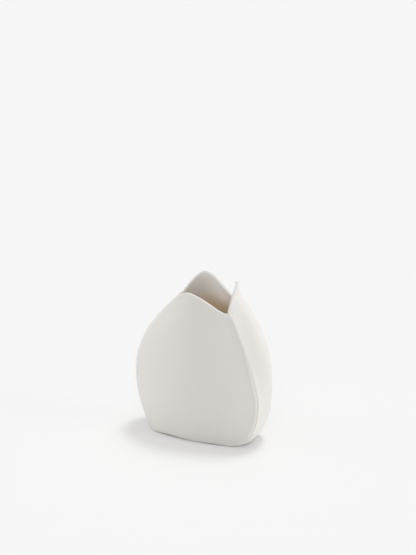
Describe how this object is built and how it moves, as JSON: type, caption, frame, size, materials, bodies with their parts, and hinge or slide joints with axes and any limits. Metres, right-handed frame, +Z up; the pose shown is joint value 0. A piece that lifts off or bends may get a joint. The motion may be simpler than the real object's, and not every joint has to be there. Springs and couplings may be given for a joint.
{
  "type": "pillow vase",
  "caption": "Slab-built white porcelain pillow vase: bowed front and back walls, narrow side gussets, wavy lips of unequal height and a glazed inside; holds water and cut flowers.",
  "frame": {"origin": "on the ground below the middle of the vase", "axes": "+Z up, the broad front with the low lip faces -Y, the pointed side lip is on +X"},
  "size_m": [0.1444, 0.0666, 0.1641],
  "materials": {
    "porcelain": "satin",
    "bare_foot": "matte",
    "glaze": "gloss"
  },
  "bodies": {
    "root": {"front_slab": "porcelain", "back_slab": "porcelain", "right_gusset": "porcelain", "left_gusset": "porcelain", "base_slab": "bare_foot", "glaze_lining": "glaze"}
  },
  "joints": []
}
